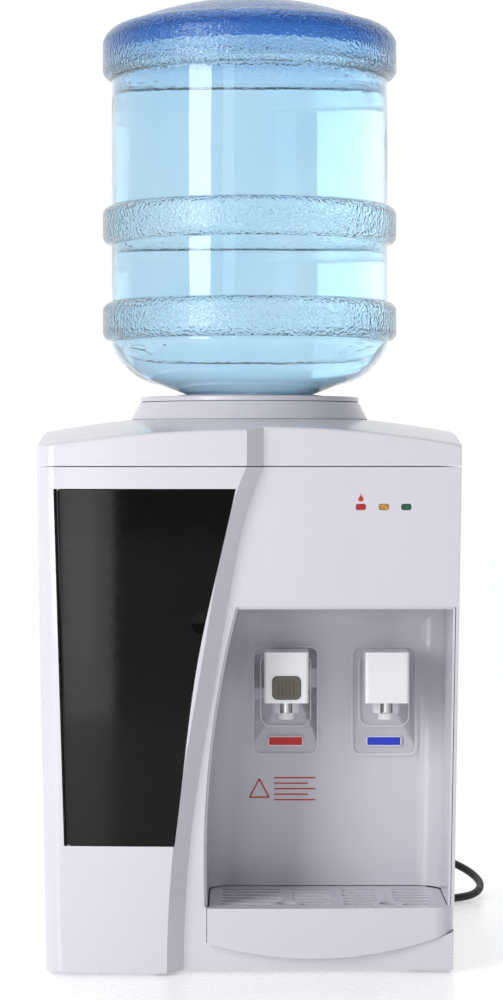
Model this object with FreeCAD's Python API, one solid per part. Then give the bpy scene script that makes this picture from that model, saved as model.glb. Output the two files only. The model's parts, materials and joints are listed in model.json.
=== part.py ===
"""Countertop hot and cold water dispenser with an inverted three-gallon bottle.

Frame: +Z up, +X to the right of a person facing the taps, -Y towards that person.
Origin: on the worktop, under the middle of the cabinet. Units: millimetres.
Each sub-part is written to parts/NODE.step.
"""

import FreeCAD, Part
import math
import os

from FreeCAD import Vector as V

# ---------------------------------------------------------------- driving dimensions
HALF_TOP = 166.5        # half width of the cabinet at the lid seam
HALF_BASE = 159.5       # half width of the cabinet at the floor
POD_FRONT = -165.0      # front of the bulging left pod
FASCIA_FRONT = -150.0   # front of the flatter right side
TRAY_FRONT = -157.0     # front of the drip tray, proud of the fascia
BACK = 165.0            # outer face of the rear panel
FRONT_BOW_R = 1800.0    # plan radius of the gently bowed front
CORNER_R = 18.0         # plan radius of the front corners
REAR_CORNER_R = 12.0    # plan radius of the rear corners
FOOT_H = 2.5            # height of the rubber feet
SEAM_Z = 396.0          # seam between cabinet and lid
SEAM_GAP = 0.8          # shadow gap at the lid seam
DOME_R = 950.0          # radius of the lid's shallow dome
DOME_TOP = 438.8        # height of the dome's crown
WALL = 3.0              # moulded wall
LINER = 2.0             # thinner inner mouldings
PANEL_SPLIT_Y = -30.0   # seam between the front shell and the side panels
REAR_T = 2.0            # rear panel sheet
GAP = 0.6               # gap around pieces that come out

ALCOVE_TOP = 284.0
ALCOVE_BACK = -37.0     # front face of the alcove's back wall
ALCOVE_CORNER = 20.0    # radius of the alcove's inner corners
TRAY_TOP = 52.0
TRAY_LEFT = -33.0
TRAY_BACK = -40.0
TRAY_SHELF_Z = 28.0     # top of the shelf that the tray slides on
TRAY_BIN_RIGHT = 144.0  # right end of the tray's basin
GRILLE_HOLE_Y = -126.0  # centres of the two round holes in the grille
GRILLE_LIFT = 50.0      # height the grille can be lifted straight up inside the alcove

DOOR_T = 5.0
HINGE_Y = -156.6        # the door turns about the middle of its own thickness
COLLAR_HOLE_R = 84.0

BOTTLE_TOP = 781.0
BOTTLE_WALL = 2.0
RIB_R = 122.2           # ribs of the bottle
BODY_R = 114.7          # plain wall between the ribs
NECK_R = 27.5
NECK_END_Z = 402.5
SEAT_TOP = 452.5        # top of the ring that carries the bottle

TAP_X = {"hot": 29.5, "cold": 110.0}
TAP_Y = -74.0           # axis of the upright valve head
BARREL_Z = 222.0
PIVOT_Y, PIVOT_Z = -62.0, 240.0
LEVER_HALF_W = 17.75
LEVER_FRONT, LEVER_LOW, LEVER_TOP = -100.0, 206.4, 247.0
BUTTON_Z = 218.7

LAMP_X = {"hot": 87.0, "power": 105.0, "cold": 122.5}
LAMP_Z = 364.0

FAN_Z = 340.0
TANK_Y, TANK_R = 8.0, 64.0
TANK_LOW, TANK_HIGH = 294.0, 386.0
HOT_AT = (72.0, 66.0)
DRAIN_X, DRAIN_Z = 40.0, 48.0
SWITCH_HOLE_X, SWITCH_HOLE_Z = (-118.0, -62.0), (60.0, 84.0)
GLAND_X, GLAND_Z = 112.0, 46.0
GLAND_HOLE_R = 7.0
SCREW_AT = [(x, z) for x in (-146, 146) for z in (30, 205, 375)]

CORD_R = 3.5
COIL_CENTRE = (-40.0, 249.0)
COIL_INNER, COIL_OUTER, COIL_H = 26.5, 53.5, 14.4
CORD_ROUTE = [
    (112.0, 187.0, 46.0), (112.0, 202.0, 45.8), (117.5, 231.0, 44.5), (133.0, 258.0, 41.0),
    (156.0, 276.5, 35.0), (184.8, 281.0, 27.0), (205.4, 265.3, 18.0), (213.3, 241.0, 10.5),
    (205.4, 216.7, 5.0), (184.8, 201.7, 3.6), (152.0, 196.5, 3.5), (110.0, 197.5, 3.5),
    (66.0, 199.6, 3.5), (24.0, 199.0, 3.5), (-10.0, 199.0, 3.5),
]

OUT = "parts"
NODES = {}
os.makedirs(OUT, exist_ok=True)


# ---------------------------------------------------------------- small helpers
def write(name, shape):
    """Write one node, after joining coplanar faces where that leaves a sound solid."""
    solids = shape.Solids
    if not solids:
        raise ValueError(name + " has no solid")
    body = solids[0] if len(solids) == 1 else Part.makeCompound(solids)
    try:
        refined = body.removeSplitter()
    except Part.OCCError:
        refined = body
    if refined.isValid() and len(refined.Solids) == len(solids):
        body = refined
    if not body.isValid():
        print("NOT VALID", name)
    body.exportStep(os.path.join(OUT, name + ".step"))
    NODES[name] = body


def biggest(shape):
    """The largest solid of a shape, leaving trimmed-off slivers behind."""
    return max(shape.Solids, key=lambda s: s.Volume)


def box(x0, x1, y0, y1, z0, z1):
    return Part.makeBox(x1 - x0, y1 - y0, z1 - z0, V(x0, y0, z0))


def cyl(radius, start, end):
    """Cylinder between two points."""
    a, b = V(*start), V(*end)
    return Part.makeCylinder(radius, (b - a).Length, a, b - a)


def ring(outer, inner, start, end):
    a, b = V(*start), V(*end)
    more = (b - a).normalize()
    return cyl(outer, start, end).cut(cyl(inner, tuple(a - more), tuple(V(*end) + more)))


def fuse(first, *rest):
    return first.multiFuse(list(rest)) if rest else first


def edges_along(shape, direction):
    """Straight edges parallel to a direction."""
    d = V(*direction)
    found = []
    for e in shape.Edges:
        if e.Curve.TypeId == "Part::GeomLine":
            if abs(abs(e.tangentAt(e.FirstParameter).dot(d)) - 1) < 1e-6:
                found.append(e)
    return found


def rounded_box(x0, x1, y0, y1, z0, z1, r, axis):
    """Box with the four edges along one axis rounded."""
    b = box(x0, x1, y0, y1, z0, z1)
    return b.makeFillet(r, edges_along(b, axis))


def line(a, b):
    return Part.LineSegment(V(*a), V(*b)).toShape()


def arc(a, b, c):
    return Part.Arc(V(*a), V(*b), V(*c)).toShape()


def spline(points):
    curve = Part.BSplineCurve()
    curve.interpolate([V(*p) for p in points])
    return curve.toShape()


def prism_xz(edges, y0, y1):
    """Closed outline of edges in the XZ plane, drawn at y = 0, extruded from y0 to y1."""
    face = Part.Face(Part.Wire(edges))
    face.translate(V(0, y0, 0))
    return face.extrude(V(0, y1 - y0, 0))


def revolve(profile, centre=(0.0, 0.0)):
    """Closed polygon of (radius, z) points turned about a vertical axis."""
    wire = Part.makePolygon([V(r, 0, z) for r, z in profile + profile[:1]])
    solid = Part.Face(wire).revolve(V(0, 0, 0), V(0, 0, 1), 360)
    solid.translate(V(centre[0], centre[1], 0))
    return solid


# ---------------------------------------------------------------- cabinet envelope
def half_width(z):
    return HALF_BASE + (HALF_TOP - HALF_BASE) * min(z, SEAM_Z) / SEAM_Z


def plan_wire(z, inset, front):
    """Plan outline at height z: bowed front, tangent corner arcs, straight sides and back."""
    hw, back = half_width(z) - inset, BACK - inset
    bow, bow_y = FRONT_BOW_R - inset, front + FRONT_BOW_R
    r = max(CORNER_R - inset, 1.0)
    rear = max(REAR_CORNER_R - inset, 1.0)
    cx = hw - r
    cy = bow_y - math.sqrt((bow - r) ** 2 - cx ** 2)
    reach = bow / (bow - r)
    tx, ty = cx * reach, bow_y + (cy - bow_y) * reach
    mid = math.atan2(ty - cy, tx - cx) / 2
    mx, my = cx + r * math.cos(mid), cy + r * math.sin(mid)
    s = rear * math.sqrt(0.5)
    rx, ry = hw - rear, back - rear
    return Part.Wire([
        arc((-tx, ty, z), (0, front + inset, z), (tx, ty, z)),
        arc((tx, ty, z), (mx, my, z), (hw, cy, z)),
        line((hw, cy, z), (hw, ry, z)),
        arc((hw, ry, z), (rx + s, ry + s, z), (rx, back, z)),
        line((rx, back, z), (-rx, back, z)),
        arc((-rx, back, z), (-rx - s, ry + s, z), (-hw, ry, z)),
        line((-hw, ry, z), (-hw, cy, z)),
        arc((-hw, cy, z), (-mx, my, z), (-tx, ty, z)),
    ])


def envelope(inset, front, z0, z1):
    """Solid inside the cabinet's outline, which widens slightly towards the lid."""
    return Part.makeLoft([plan_wire(z0, inset, front), plan_wire(z1, inset, front)], True, True)


# The pod's right flank sweeps down from the lid to the floor in one long curve.
FLANK_FOOT = [(11, 396), (-6.5, 343), (-16, 292), (-32, 198), (-44, 124), (-51, 45), (-52, -10)]
FLANK_W = 13.0          # width of the flank, seen from the front


def flank_wire(shift, y):
    """Everything to the right of the flank line, as an outline at one depth."""
    pts = [(x + shift, y, z) for x, z in FLANK_FOOT]
    top = (pts[0][0], y, 470)
    return Part.Wire([
        spline(pts),
        line(pts[-1], (240, y, pts[-1][2])),
        line((240, y, pts[-1][2]), (240, y, 470)),
        line((240, y, 470), top),
        line(top, pts[0]),
    ])


def right_of_pod(inset):
    """Region in front of the right fascia that the pod doesn't fill."""
    slope = Part.makeLoft([flank_wire(-FLANK_W - 3.5, POD_FRONT - 4), flank_wire(1.7, FASCIA_FRONT + 2)],
                          True, True)
    slope.translate(V(-inset * 0.5, inset, 0))
    return slope


def stepped(inset, z0, z1):
    """The cabinet's envelope with its raised left pod."""
    pod = envelope(inset, POD_FRONT, z0, z1)
    return pod.cut(right_of_pod(inset)).fuse(envelope(inset, FASCIA_FRONT, z0, z1)).removeSplitter()


# ---------------------------------------------------------------- openings in the front
DOOR_RIGHT = [(-11.5, 377.5), (-31, 292), (-40, 249), (-51.5, 164), (-59, 101.6)]
DOOR_TL, DOOR_BL = (-151.4, 377.5), (-143.0, 101.6)


def door_outline(grow, left=0.0):
    """Trapezoid outline of the cupboard door, grown by a margin on every side."""
    right = [(x + grow, 0, z) for x, z in DOOR_RIGHT]
    right[0] = (right[0][0] + 0.2 * grow, 0, DOOR_TL[1] + grow)
    right[-1] = (right[-1][0], 0, DOOR_BL[1] - grow)
    tl = (DOOR_TL[0] - grow - left, 0, DOOR_TL[1] + grow)
    bl = (DOOR_BL[0] - grow - left, 0, DOOR_BL[1] - grow)
    return [spline(right), line(right[-1], bl), line(bl, tl), line(tl, right[0])]


ALCOVE_LEFT = [(-9.0, ALCOVE_TOP), (-25.0, 205.0), (-33.0, TRAY_TOP)]


def alcove_block(grow, y0, y1):
    """Alcove space: curved left side, straight right side, rounded rear corners and rear ceiling."""
    a = [(x - grow, 0, z) for x, z in ALCOVE_LEFT]
    top = ALCOVE_TOP + grow
    a[0] = (a[0][0] + 0.2 * grow, 0, top)
    right_top = (half_width(top) - WALL - LINER + grow, 0, top)
    right_low = (half_width(TRAY_TOP) - WALL - LINER + grow, 0, TRAY_TOP)
    block = prism_xz([arc(*a), line(a[2], right_low), line(right_low, right_top),
                      line(right_top, a[0])], y0, y1)
    chosen = []
    for e in block.Edges:
        b = e.BoundBox
        at_ceiling = b.ZMin > top - 0.1 and b.YMin > y1 - 0.1
        rising_at_back = b.YMin > y1 - 0.1 and b.ZLength > 50
        if at_ceiling or rising_at_back:
            chosen.append(e)
    return block.makeFillet(ALCOVE_CORNER + grow, chosen)


def tray_outline(grow):
    """Front face of the drip tray: straight top, smile-shaped lower edge."""
    left, top = TRAY_LEFT - grow, TRAY_TOP
    a, b, c = (left, 0, 24.5 - grow), (62.0, 0, 12.8 - grow), (190.0, 0, 46.4 - grow)
    return [arc(a, b, c), line(c, (190.0, 0, top)), line((190.0, 0, top), (left, 0, top)),
            line((left, 0, top), a)]


# ---------------------------------------------------------------- casings
def lamp_block(x, grow, y0, y1):
    return rounded_box(x - 3.9 - grow, x + 3.9 + grow, y0, y1, LAMP_Z - 2.35 - grow,
                       LAMP_Z + 2.35 + grow, 1.8, (0, 1, 0))


def side_panel(side, low, high):
    """Louvred wall behind the front shell, turned in at the back to take the rear panel's screws."""
    hw, end, corner_y = half_width(low), BACK - REAR_T - 0.2, BACK - REAR_CORNER_R
    corner_x, bend = hw - REAR_CORNER_R, REAR_CORNER_R - WALL
    s, full = math.sqrt(0.5), REAR_CORNER_R
    half_turn = math.asin((end - corner_y) / full) / 2
    tip_x = corner_x + full * math.cos(2 * half_turn)
    in_y = end - 2.8

    def at(x, y):
        return (side * x, y, low)

    outline = Part.Wire([
        line(at(hw - WALL, PANEL_SPLIT_Y + 0.4), at(hw, PANEL_SPLIT_Y + 0.4)),
        line(at(hw, PANEL_SPLIT_Y + 0.4), at(hw, corner_y)),
        arc(at(hw, corner_y), at(corner_x + full * math.cos(half_turn), corner_y + full * math.sin(half_turn)),
            at(tip_x, end)),
        line(at(tip_x, end), at(hw - 22, end)),
        line(at(hw - 22, end), at(hw - 22, in_y)),
        line(at(hw - 22, in_y), at(corner_x, in_y)),
        arc(at(corner_x, in_y), at(corner_x + bend * s, in_y - bend + bend * s), at(hw - WALL, in_y - bend)),
        line(at(hw - WALL, in_y - bend), at(hw - WALL, PANEL_SPLIT_Y + 0.4)),
    ])
    lean = side * (half_width(high) - hw)
    panel = Part.Face(outline).extrude(V(lean, 0, high - low))
    for k in range(7):
        z = 320 - 9 * k
        panel = panel.cut(rounded_box(min(side * 130, side * 200), max(side * 130, side * 200), 30, 110,
                                      z, z + 3.5, 1.7, (1, 0, 0)))
    for x, z in SCREW_AT:
        if x * side > 0:
            panel = panel.cut(cyl(1.9, (x, BACK - 9, z), (x, BACK, z)))
    return biggest(panel)


def make_casings():
    low = FOOT_H
    outer = stepped(0, low, SEAM_Z - SEAM_GAP)
    inner = stepped(WALL, low - 1, SEAM_Z + 1)
    front = outer.cut(inner).common(box(-250, 250, -250, PANEL_SPLIT_Y, 0, 500))
    front = front.cut(prism_xz(door_outline(0.8, 0.3), -200, -120))
    front = front.cut(alcove_block(LINER, -200, ALCOVE_BACK + LINER))
    front = front.cut(prism_xz(tray_outline(GAP), -200, TRAY_BACK + GAP))
    for x in LAMP_X.values():
        front = front.cut(lamp_block(x, 0.15, -170, -120))
    front = front.cut(cyl(1.0, hinge_point(90), hinge_point(390)))
    write("front_shell", biggest(front))

    for name, side in (("left", -1), ("right", 1)):
        write(name + "_side_panel", side_panel(side, low, SEAM_Z - SEAM_GAP))

    floor = envelope(WALL + 0.2, FASCIA_FRONT, low, low + 3)
    clear_of_corners = floor.copy()
    clear_of_corners.translate(V(0, -2, 0))
    floor = floor.common(clear_of_corners).common(box(-250, 250, -250, BACK - REAR_T - 3.4, 0, 100))
    pod_floor = envelope(WALL + 0.2, POD_FRONT, low, low + 3).common(box(-250, -72, -250, 0, 0, 100))
    ribs = [box(x - 1.5, x + 1.5, -110, 150, low + 2, low + 9) for x in (-118, -86)]
    base = fuse(floor, pod_floor, *ribs)
    for k in range(5):
        base = base.cut(box(-20 + 14 * k, -14 + 14 * k, 90, 140, 0, low + 12))
    write("base_pan", biggest(base))

    corners = [(x, y) for x in (-136, 136) for y in (-120, 138)]
    feet = [revolve([(0, 0), (9, 0), (10, 1), (10, FOOT_H), (0, FOOT_H)], at)
            for at in corners + [(0, 0)]]
    write("rubber_feet", Part.makeCompound(feet))


def make_rear_panel():
    low, high = FOOT_H + 0.4, SEAM_Z - SEAM_GAP
    a, b = half_width(low) - 1.5, half_width(high) - 1.5
    y0, y1 = BACK - REAR_T, BACK
    panel = prism_xz([line((-a, 0, low), (a, 0, low)), line((a, 0, low), (b, 0, high)),
                      line((b, 0, high), (-b, 0, high)), line((-b, 0, high), (-a, 0, low))], y0, y1)
    panel = panel.common(envelope(0, FASCIA_FRONT, FOOT_H, SEAM_Z))
    for k in range(9):
        z = FAN_Z - 36 + 9 * k
        panel = panel.cut(rounded_box(-40, 40, y0 - 5, y1 + 5, z - 2, z + 2, 1.9, (0, 1, 0)))
    for k in range(12):
        x = -66 + 12 * k
        panel = panel.cut(rounded_box(x - 2, x + 2, y0 - 5, y1 + 5, 120, 190, 1.9, (0, 1, 0)))
    panel = panel.cut(box(*SWITCH_HOLE_X, y0 - 5, y1 + 5, *SWITCH_HOLE_Z))
    panel = panel.cut(cyl(GLAND_HOLE_R, (GLAND_X, y0 - 5, GLAND_Z), (GLAND_X, y1 + 5, GLAND_Z)))
    panel = panel.cut(cyl(8.0, (DRAIN_X, y0 - 5, DRAIN_Z), (DRAIN_X, y1 + 5, DRAIN_Z)))
    screws = []
    for x, z in SCREW_AT:
        panel = panel.cut(cyl(2.2, (x, y0 - 5, z), (x, y1 + 5, z)))
        shaft = cyl(1.9, (x, BACK - 8, z), (x, BACK + 0.2, z))
        head = cyl(3.6, (x, BACK, z), (x, BACK + 1.8, z))
        slot_a = box(x - 2.4, x + 2.4, BACK + 0.8, BACK + 3, z - 0.45, z + 0.45)
        slot_b = box(x - 0.45, x + 0.45, BACK + 0.8, BACK + 3, z - 2.4, z + 2.4)
        screws.append(fuse(shaft, head).cut(slot_a).cut(slot_b))
    write("rear_panel", biggest(panel))
    write("panel_screws", Part.makeCompound(screws))


def lid_block(inset):
    """Lid volume: the cabinet's plan outline with its pod step, under a shallow dome."""
    base = SEAM_Z - (1 if inset else 0)
    pod = Part.Face(plan_wire(SEAM_Z, inset, POD_FRONT)).extrude(V(0, 0, 60))
    fascia = Part.Face(plan_wire(SEAM_Z, inset, FASCIA_FRONT)).extrude(V(0, 0, 60))
    block = pod.cut(right_of_pod(inset)).fuse(fascia)
    block.translate(V(0, 0, base - SEAM_Z))
    return block.common(Part.makeSphere(DOME_R - inset, V(0, 0, DOME_TOP - DOME_R)))


def make_lid():
    outer = lid_block(0)
    rim = [e for e in outer.Edges if e.BoundBox.ZMin > SEAM_Z + 6 and e.Length > 3]
    for radius in (9.0, 6.0, 4.0, 2.5, 1.5):
        try:
            rounded = outer.makeFillet(radius, rim)
        except Part.OCCError:
            continue
        if rounded.isValid():
            outer = rounded
            print("lid rim radius", radius)
            break
    lid = outer.cut(lid_block(WALL)).cut(cyl(COLLAR_HOLE_R, (0, 0, 380), (0, 0, 500)))
    lip = envelope(WALL + 0.3, FASCIA_FRONT, SEAM_Z - 6, SEAM_Z + 5)
    lip = lip.cut(envelope(WALL + 2.3, FASCIA_FRONT, SEAM_Z - 7, SEAM_Z + 6))
    lip = lip.common(box(-250, 250, -100, BACK - 6, 0, 500))
    write("top_lid", biggest(lid.fuse(lip)))


def hinge_point(z):
    """Point on the door's hinge axis, which leans with the door's left edge."""
    t = (z - DOOR_BL[1]) / (DOOR_TL[1] - DOOR_BL[1])
    return (DOOR_BL[0] + (DOOR_TL[0] - DOOR_BL[0]) * t + DOOR_T / 2, HINGE_Y, z)


# ---------------------------------------------------------------- bottle and its seat
def make_bottle_seat():
    """Tapered collar on the lid, the lift-out ring that carries the bottle, and the feed probe."""
    above_lid = Part.makeSphere(DOME_R, V(0, 0, DOME_TOP - DOME_R)).cut(
        cyl(COLLAR_HOLE_R - 0.6, (0, 0, 380), (0, 0, 470)))
    collar = revolve([(100.5, 430), (90.9, 448.2), (80.5, 448.2), (80.5, 424), (83, 424),
                      (83, 445.2), (88.8, 445.2), (97.2, 430)])
    write("bottle_collar", biggest(collar.cut(above_lid)))
    seat = revolve([(90.75, 448.5), (90.75, 451.7), (90, SEAT_TOP), (54, SEAT_TOP), (31.5, 437.5),
                    (31.5, 398), (34, 398), (34, 436.2), (53.5, 448.5), (77.5, 448.5), (77.5, 441),
                    (79.8, 441), (79.8, 448.5)])
    write("seat_ring", seat)
    write("seat_gasket", revolve([(54, SEAT_TOP), (60, SEAT_TOP), (60, 454), (54.5, 454.6)]))
    tip = revolve([(0, 436), (3, 434), (6, 427), (6, 399), (0, 399)])
    dish = revolve([(0, 395.8), (34, 395.8), (34, 398), (14, 398), (9, 400), (0, 400)])
    probe = fuse(tip, dish)
    for angle in (0, 90):
        port = cyl(2.5, (-12, 0, 421), (12, 0, 421))
        port.rotate(V(0, 0, 0), V(0, 0, 1), angle)
        probe = probe.cut(port)
    for k in range(6):
        hole = cyl(3.5, (22, 0, 390), (22, 0, 405))
        hole.rotate(V(0, 0, 0), V(0, 0, 1), 60 * k)
        probe = probe.cut(hole)
    write("feed_probe", probe)


def bottle_solid(inset):
    """Outer or inner volume of the inverted bottle, from the neck's mouth up to its base."""
    rib, body, neck, t = RIB_R - inset, BODY_R - inset, NECK_R - inset, inset
    mouth = NECK_END_Z - (1 if inset else 0)
    at = [V(neck, 0, mouth)]
    edges = [Part.LineSegment(V(0, 0, mouth), at[0]).toShape()]

    def go(r, z):
        edges.append(Part.LineSegment(at[-1], V(r, 0, z)).toShape())
        at.append(V(r, 0, z))

    def bend(r1, z1, r2, z2):
        edges.append(Part.Arc(at[-1], V(r1, 0, z1), V(r2, 0, z2)).toShape())
        at.append(V(r2, 0, z2))

    go(neck, 442 + t)
    bend(neck + 2.6, 448.5 + t, neck + 9, 451.6 + t)
    go(54 - t, 455.4 + t)
    go(74.7 - t, 462.7 + t)
    bend(99.3 - t, 474.2 + t, body, 497)
    for low, high in ((499, 531.5), (579, 611)):
        go(body, low + t)
        bend(body + 4.8, low + 2 + t, rib, low + 6.5 + t)
        go(rib, high - 6.5 - t)
        bend(body + 4.8, high - 2 - t, body, high - t)
    go(body, 716.5 + t)
    bend(body + 4.8, 718.5 + t, rib, 723)
    go(rib, 747)
    bend(rib - 5.4, 755.5 - t, 104.2 - t, 761.2 - t)
    bend(60 - t, 775.6 - t, 34, BOTTLE_TOP - 0.8 - t)
    go(0, BOTTLE_TOP - t)
    edges.append(Part.LineSegment(at[-1], V(0, 0, mouth)).toShape())
    return Part.Face(Part.Wire(edges)).revolve(V(0, 0, 0), V(0, 0, 1), 360)


def make_bottle():
    bottle = bottle_solid(0).cut(bottle_solid(BOTTLE_WALL))
    bead = revolve([(NECK_R - 0.5, 404), (NECK_R + 1.6, 404), (NECK_R + 1.6, 408), (NECK_R - 0.5, 410)])
    write("water_bottle", bottle.fuse(bead))


# ---------------------------------------------------------------- alcove, cupboard and tray
def make_alcove():
    liner = alcove_block(LINER, -175, ALCOVE_BACK + LINER).cut(alcove_block(0, -180, ALCOVE_BACK))
    trim = stepped(WALL, FOOT_H, SEAM_Z)
    liner = liner.common(trim)
    for x in TAP_X.values():
        liner = liner.cut(cyl(9.0, (x, -80, BARREL_Z), (x, 0, BARREL_Z)))
    write("alcove_liner", biggest(liner))
    shelf = envelope(WALL + 1.6, FASCIA_FRONT, TRAY_SHELF_Z - 3, TRAY_SHELF_Z)
    shelf = shelf.common(box(TRAY_LEFT - 2, TRAY_BIN_RIGHT + 1, -250, -37, 0, 100))
    back_lip = box(TRAY_LEFT - 2, TRAY_BIN_RIGHT + 1, -39, -37, TRAY_SHELF_Z - 1, TRAY_TOP - 0.5)
    legs = [box(x - 2, x + 2, -120, -60, FOOT_H + 3, TRAY_SHELF_Z - 2) for x in (-20, 60, 135)]
    write("tray_shelf", fuse(shelf, back_lip, *legs))


def make_drip_tray():
    face = envelope(0, TRAY_FRONT, 5, 100).cut(envelope(WALL, FASCIA_FRONT, 4, 101))
    face = face.common(prism_xz(tray_outline(0), -200, TRAY_BACK))
    face = face.common(box(TRAY_LEFT, 250, -200, TRAY_BACK, 0, TRAY_TOP - 0.4))
    deck_z = TRAY_TOP - 4
    deck = envelope(WALL - 0.5, FASCIA_FRONT, deck_z - 2.2, deck_z)
    deck = deck.common(box(TRAY_LEFT + 0.8, 250, -200, TRAY_BACK, 0, 100))
    basin = envelope(WALL - 0.2, FASCIA_FRONT, TRAY_SHELF_Z + 0.3, deck_z)
    basin = basin.common(box(TRAY_LEFT + 0.8, TRAY_BIN_RIGHT, -200, TRAY_BACK, 0, 100))
    hollow = envelope(WALL + 2, FASCIA_FRONT, TRAY_SHELF_Z + 2.3, deck_z + 1)
    hollow = hollow.common(box(TRAY_LEFT + 3, TRAY_BIN_RIGHT - 2, -200, TRAY_BACK - 2, 0, 100))
    write("drip_tray", biggest(fuse(face, deck, basin).cut(hollow)))

    z0, z1 = deck_z + 0.4, TRAY_TOP - 0.9
    grille = envelope(WALL + 0.4, FASCIA_FRONT, z0, z1)
    grille = grille.common(box(TRAY_LEFT + 1.2, 250, -200, TRAY_BACK - 0.8, 0, 100))
    for rise in (2 * (TRAY_TOP - z0), GRILLE_LIFT + TRAY_TOP - z0):
        passage = alcove_block(-GAP, -200, ALCOVE_BACK - GAP)
        passage.translate(V(0, 0, -rise))
        grille = grille.common(passage)
    middle = (TAP_X["hot"] + TAP_X["cold"]) / 2
    spans = [(-22, 25), (34, middle - 5), (middle + 5, 105), (115, 147)]
    slots = [rounded_box(x0, x1, y - 8.0, y, z0 - 2, z1 + 2, 2.5, (0, 0, 1))
             for y in [-50 - 15.2 * row for row in range(6)] for x0, x1 in spans]
    pattern = Part.makeCompound(slots)
    for x in TAP_X.values():
        pattern = pattern.cut(cyl(12.5, (x, GRILLE_HOLE_Y, z0 - 3), (x, GRILLE_HOLE_Y, z1 + 3)))
    grille = grille.cut(pattern)
    for x in TAP_X.values():
        grille = grille.cut(cyl(8, (x, GRILLE_HOLE_Y, z0 - 2), (x, GRILLE_HOLE_Y, z1 + 2)))
    write("drip_grille", biggest(grille))


def make_cupboard():
    """Cup cupboard in the pod: liner, shelf, and the door on pivot pins at its left edge."""
    back_y = -78.0
    outer = prism_xz(door_outline(0.0, 0.8), -170, back_y)
    inner = prism_xz(door_outline(-LINER, 0.8), -175, back_y - LINER)
    liner = outer.cut(inner).common(envelope(DOOR_T + 3.5, POD_FRONT, 20, 402))
    write("cup_cupboard", biggest(liner))
    shelf = prism_xz(door_outline(-LINER, 0.8), -146, back_y - LINER).common(box(-250, 0, -250, 0, 236, 239))
    write("cup_shelf", biggest(shelf.common(envelope(DOOR_T + 3.5, POD_FRONT, 20, 402))))

    skin = envelope(0, POD_FRONT, 60, 402).cut(envelope(DOOR_T, POD_FRONT, 59, 403))
    right_of_axis = prism_xz([line(hinge_xz(90), hinge_xz(390)), line(hinge_xz(390), (0, 0, 390)),
                              line((0, 0, 390), (0, 0, 90)), line((0, 0, 90), hinge_xz(90))], -200, -100)
    door = skin.common(prism_xz(door_outline(0), -200, -120)).common(right_of_axis)
    low, high = DOOR_BL[1], DOOR_TL[1]
    door = door.fuse(cyl(DOOR_T / 2, hinge_point(low + 0.3), hinge_point(high - 0.3)))
    door = door.cut(Part.makeSphere(14, V(-36, POD_FRONT - 10.2, 274)))
    for z0, z1 in ((low - 5, low + 12), (high - 12, high + 5)):
        door = door.cut(cyl(1.05, hinge_point(z0), hinge_point(z1)))
    write("cupboard_door", biggest(door))
    brackets = [cyl(1.0, hinge_point(low - 6), hinge_point(low + 10)),
                cyl(1.0, hinge_point(high - 10), hinge_point(high + 6))]
    for z in (low - 6, high + 2):
        x, y, _ = hinge_point(z)
        lug = box(x - 4, x + 4, y - 1, y + 9, z, z + 4).common(envelope(WALL, POD_FRONT, 20, 402))
        brackets.append(lug.cut(cyl(1.0, hinge_point(z - 2), hinge_point(z + 6))))
    write("door_pivots", Part.makeCompound(brackets))


def hinge_xz(z):
    x, _, _ = hinge_point(z)
    return (x, 0, z)


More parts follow.
